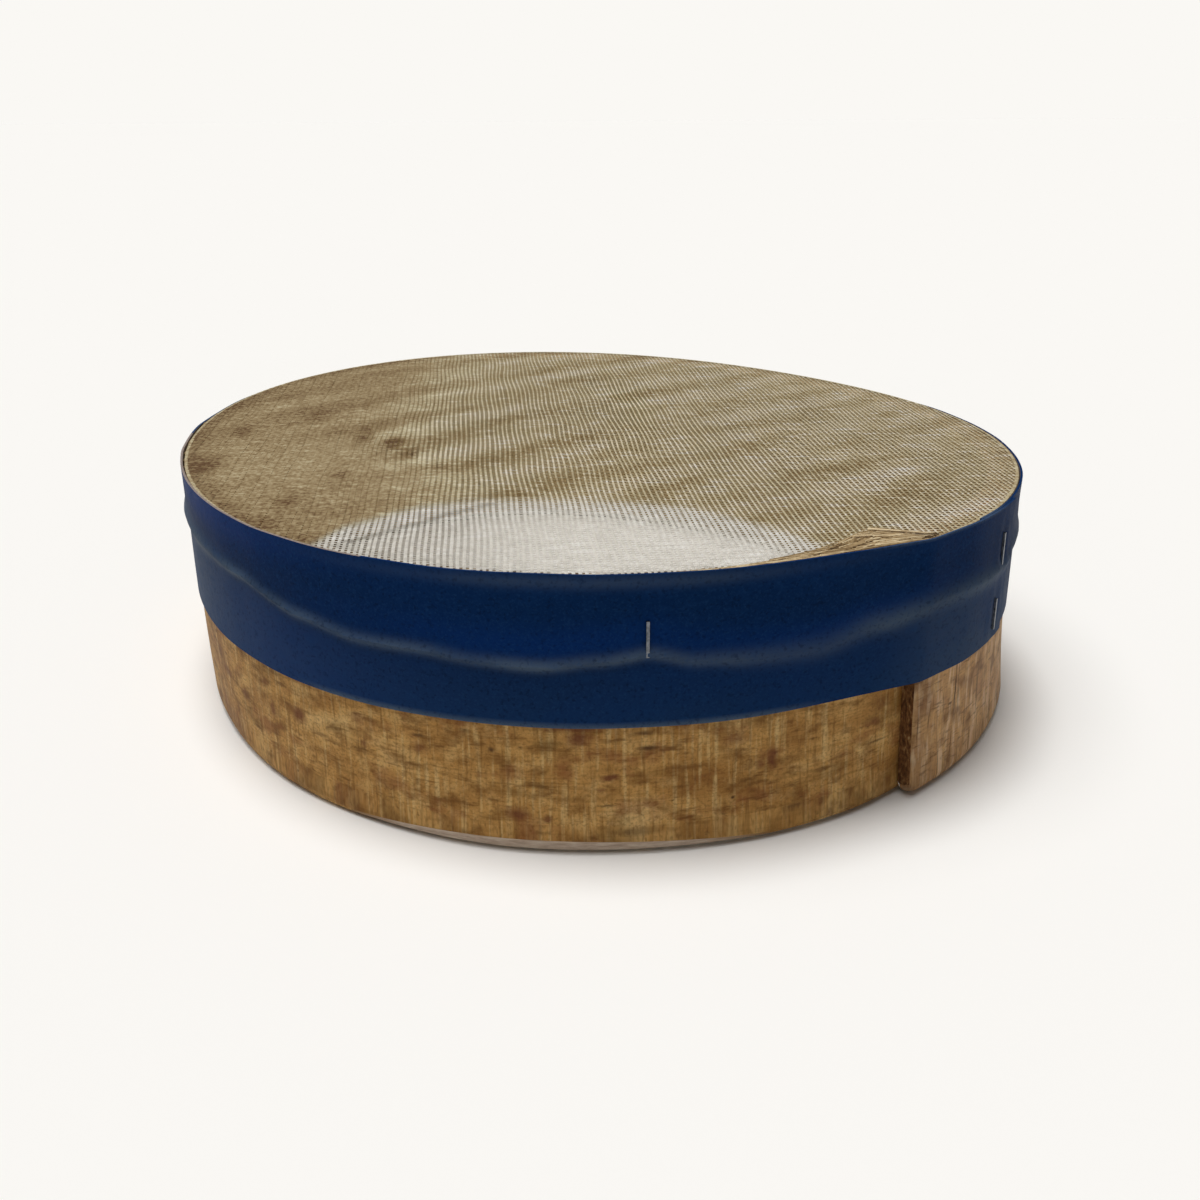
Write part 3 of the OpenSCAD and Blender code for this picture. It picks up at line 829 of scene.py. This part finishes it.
def netMesh():
    reach, pitch, wander = 164, net["pitch"], net["wander"]
    count = int(reach / pitch)
    ux, uy = cosOf(net["dir"]), sinOf(net["dir"])
    shiftA = {i: netRng.gauss(0, net["jitter"]) for i in range(-count, count + 1)}
    shiftB = {i: netRng.gauss(0, net["jitter"]) for i in range(-count, count + 1)}
    verts, faces, gleams, covers, floorLights = [], [], [], [], []

    def crossing(i, j):  # i counts across the warp, j across the weft
        p = i * pitch + shiftA[i] + wander * drift(i * pitch, j * pitch, 0)
        q = j * pitch + shiftB[j] + wander * drift(j * pitch, i * pitch, 2.1)
        return ux * p - uy * q, uy * p + ux * q

    def tube(points, across, isWarp):
        base = len(verts)
        for x, y, z in points:
            gleams.extend([gleamAt(x, y, isWarp)] * 3)
            floorLights.extend([floorLightAt(x, y)] * 3)
            covers.extend([max(soilAndShadeAt(x, y), 0.6 * floorLights[-1])] * 3)
            wide = net["wide"][isWarp] * (1 + 1.4 * soilAndShadeAt(x, y) + 0.5 * floorLights[-1])
            for k in range(3):
                w, h = wide * cosOf(90 + 120 * k), net["thick"] * sinOf(90 + 120 * k)
                verts.append(((x + across[0] * w - middle[0]) * mm, (y + across[1] * w - middle[1]) * mm, (z + h) * mm))
        for n in range(len(points) - 1):
            for k in range(3):
                a, b = base + 3 * n + k, base + 3 * n + (k + 1) % 3
                faces.append((a, b, b + 3, a + 3))
        last = base + 3 * (len(points) - 1)
        faces.append((base + 2, base + 1, base))
        faces.append((last, last + 1, last + 2))

    def run(fixed, isWarp):
        points = []
        for k in range(-count, count + 1):
            x, y = crossing(fixed, k) if isWarp else crossing(k, fixed)
            inside = insideRim(x, y)
            if inside < 0:
                continue
            z = net["rest"] + net["sag"] * drift(0.6 * x, 0.6 * y, 4.2) * smooth((inside - 12) / 25)
            if not isWarp:
                z += net["crimp"] * (1 if (fixed + k) % 2 else -1)
            points.append((x, y, z, k))
        if len(points) < 3:
            return
        ends = []
        for first, second in ((points[0], points[1]), (points[-1], points[-2])):
            dx, dy = first[0] - second[0], first[1] - second[1]
            size = math.hypot(dx, dy)
            dx, dy = dx / size, dy / size
            low, high = 0.0, 3.0
            for _ in range(12):
                half = (low + high) / 2
                if insideRim(first[0] + dx * half, first[1] + dy * half) > 0:
                    low = half
                else:
                    high = half
            edge = (first[0] + dx * low, first[1] + dy * low, net["rest"] - 0.1)
            drop = (first[0] + dx * (low + 0.2), first[1] + dy * (low + 0.2), net["rest"] - 1.6)
            ends.append((edge, drop))
        kept = [p[:3] for p in points]
        if isWarp:
            kept = [kept[0]] + [p[:3] for p in points[1:-1] if p[3] % 4 == 0 or isMarked(p[0], p[1])] + [kept[-1]]
        line = [ends[0][1], ends[0][0]] + kept + [ends[1][0], ends[1][1]]
        tube(line, (ux, uy) if isWarp else (-uy, ux), isWarp)

    for i in range(-count, count + 1):
        run(i, True)
        run(i, False)
    mesh = bpy.data.meshes.new("netCloth")
    mesh.from_pydata(verts, [], faces)
    mesh.attributes.new("gleam", "FLOAT", "POINT").data.foreach_set("value", gleams)
    mesh.attributes.new("cover", "FLOAT", "POINT").data.foreach_set("value", covers)
    mesh.attributes.new("floorLight", "FLOAT", "POINT").data.foreach_set("value", floorLights)
    obj = bpy.data.objects.new("netCloth", mesh)
    bpy.context.scene.collection.objects.link(obj)
    return obj


netCloth = netMesh()


def skirtSection(a):  # the net turned down outside the hoop, with its edge turned up inside it as a hem
    r, foot, c = skinRadius(a), ridgeHeight(a) - 1.6, net["cloth"]
    rise = foot + net["turnUp"]
    return [(r + 0.45, foot), (r + 0.85, foot + 0.5), (r + 0.95, foot + 1.5), (r + 0.9, foot + 2.8), (r + 0.75, rise),
            (r + c, rise + 1.5), (r + c, 75), (r + c, 84.2), (r + c - 0.15, 84.7), (r - 0.1, 84.85), (r - 0.8, 84.72),
            (r - 0.1, 84.6), (r + 0.2, 84.3), (r + 0.25, 75),
            (r + 0.25, rise + 1), (r + 0.45, rise - 0.4), (r + 0.5, foot + 0.9), (r + 0.35, foot + 0.9),
            (r + 0.2, rise), (r + 0.05, rise), (r + 0.05, foot + 0.3)]


skirt = sweepStrip("netSkirt", steps(plan["outerEnd"], plan["outerEnd"] + turn, 1.5), skirtSection)
for key, value in (("gleam", 0.40), ("cover", 1.0), ("floorLight", 0.0)):
    count = len(skirt.data.vertices)
    skirt.data.attributes.new(key, "FLOAT", "POINT").data.foreach_set("value", [value] * count)
onlySelect(netCloth)
bpy.ops.object.mode_set(mode="EDIT")
bpy.ops.mesh.select_all(action="SELECT")
bpy.ops.mesh.normals_make_consistent(inside=False)
bpy.ops.object.mode_set(mode="OBJECT")
bpy.ops.object.shade_flat()
skirt.select_set(True)
bpy.ops.object.join()
netCloth.data.materials.clear()
netCloth.data.materials.append(netLook)
dress(netCloth, "net", "net_face", "net_skirt")
cutArea = math.pi * net["cutAcross"] ** 2 / 4
netCloth.data.calc_loop_triangles()
netShare = sum(t.area for t in netCloth.data.loop_triangles) / 2 / cutArea
print("net made:", len(netCloth.data.loop_triangles), "triangles, share of its cut", round(netShare, 3))

for name in ("staple_front", "staple_left", "staple_back", "staple_end_upper", "staple_end_lower", "lap_tacks"):
    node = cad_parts[name]
    node.data.materials.clear()
    node.data.materials.append(wireLook)
print("fasteners dressed")

# Each lamp: where it shines from, its share of the light on the floor, and its width in degrees.
# The shares and the fill add up to 1, so the floor shows the colour that is written.
stage = {
    "floorShown": "#faf8f4", "floorBounce": "#d6d2ca", "fill": 0.11,
    "lamps": (("softboxAbove", (-0.08, 0.08, 1.0), 0.49, 20), ("windowLeft", (-0.35, 0.05, 1.0), 0.17, 30),
              ("windowFront", (-0.20, -0.25, 1.0), 0.23, 50)),
}


def seenRays(mat):  # 1 for what the camera sees, straight or by gloss or glass
    path = addNode(mat, "LightPath")
    first = addNode(mat, "Math", None, {0: (path, "Is Camera Ray"), 1: (path, "Is Glossy Ray")}, operation="MAXIMUM")
    return addNode(mat, "Math", None, {0: first, 1: (path, "Is Transmission Ray")}, operation="MAXIMUM")


deselectAll()
bpy.ops.mesh.primitive_plane_add(size=60, location=(0, 0, 0))
floor = bpy.context.object
floor.name = "studioFloor"
floorLook = newMaterial("matPaperSweep")  # matt white paper
floorColour = addNode(floorLook, "MixRGB", {"Color1": toLinear(stage["floorBounce"]),
                                            "Color2": toLinear(stage["floorShown"])}, {"Fac": seenRays(floorLook)})
floorShader = addNode(floorLook, "BsdfDiffuse", None, {"Color": floorColour})
finishMaterial(floorLook, floorShader)
floor.data.materials.append(floorLook)

world = bpy.data.worlds.new("softRoom")
bpy.context.scene.world = world
world.use_nodes = True
world.node_tree.nodes.clear()
fill = addNode(world, "Background", {"Color": (1, 1, 1, 1), "Strength": stage["fill"]})
seen = addNode(world, "Background", {"Color": toLinear(stage["floorShown"]), "Strength": 1.0})
worldPath = addNode(world, "LightPath")
pick = addNode(world, "MixShader", None, {0: (worldPath, "Is Camera Ray"), 1: fill, 2: seen})
worldOut = addNode(world, "OutputWorld")
world.node_tree.links.new(pick.outputs[0], worldOut.inputs["Surface"])

for name, shinesFrom, share, wide in stage["lamps"]:
    toward = Vector(shinesFrom).normalized()
    lampData = bpy.data.lights.new(name, "SUN")
    lampData.energy = share * math.pi / toward.z
    lampData.angle = math.radians(wide)
    lamp = bpy.data.objects.new(name, lampData)
    bpy.context.scene.collection.objects.link(lamp)
    lamp.rotation_euler = toward.to_track_quat("Z", "Y").to_euler()

# The camera looks down at the hoop's front. Lengths are in millimetres from the plan's pole,
# the middle of the picture and the focal length in pixels of its 1200.
camera = {
    "away": 476.03, "down": 19.51, "roll": 0.292, "sideways": 9.63, "up": 41.41,
    "focal": 1200, "centreX": 604.2, "centreY": 537.2, "image": 1200, "sensor": 36.0,
}
camData = bpy.data.cameras.new("camera")
cam = bpy.data.objects.new("camera", camData)
bpy.context.scene.collection.objects.link(cam)
back = Vector((0, -cosOf(camera["down"]), sinOf(camera["down"])))
up = Vector((0, sinOf(camera["down"]), cosOf(camera["down"])))
right = Vector((1, 0, 0))
camX = cosOf(camera["roll"]) * right - sinOf(camera["roll"]) * up
camY = sinOf(camera["roll"]) * right + cosOf(camera["roll"]) * up
spot = (back * camera["away"] + Vector((camera["sideways"] - middle[0], -middle[1], camera["up"]))) * mm
cam.matrix_world = Matrix.Translation(spot) @ Matrix((camX, camY, back)).transposed().to_4x4()
camData.sensor_width = camera["sensor"]
camData.lens = camera["focal"] / camera["image"] * camera["sensor"]
camData.shift_x = -(camera["centreX"] - camera["image"] / 2) / camera["image"]
camData.shift_y = (camera["centreY"] - camera["image"] / 2) / camera["image"]
camData.clip_start, camData.clip_end = 0.01, 100
bpy.context.scene.camera = cam
bpy.context.scene.view_settings.view_transform = "Standard"
print("stage set")
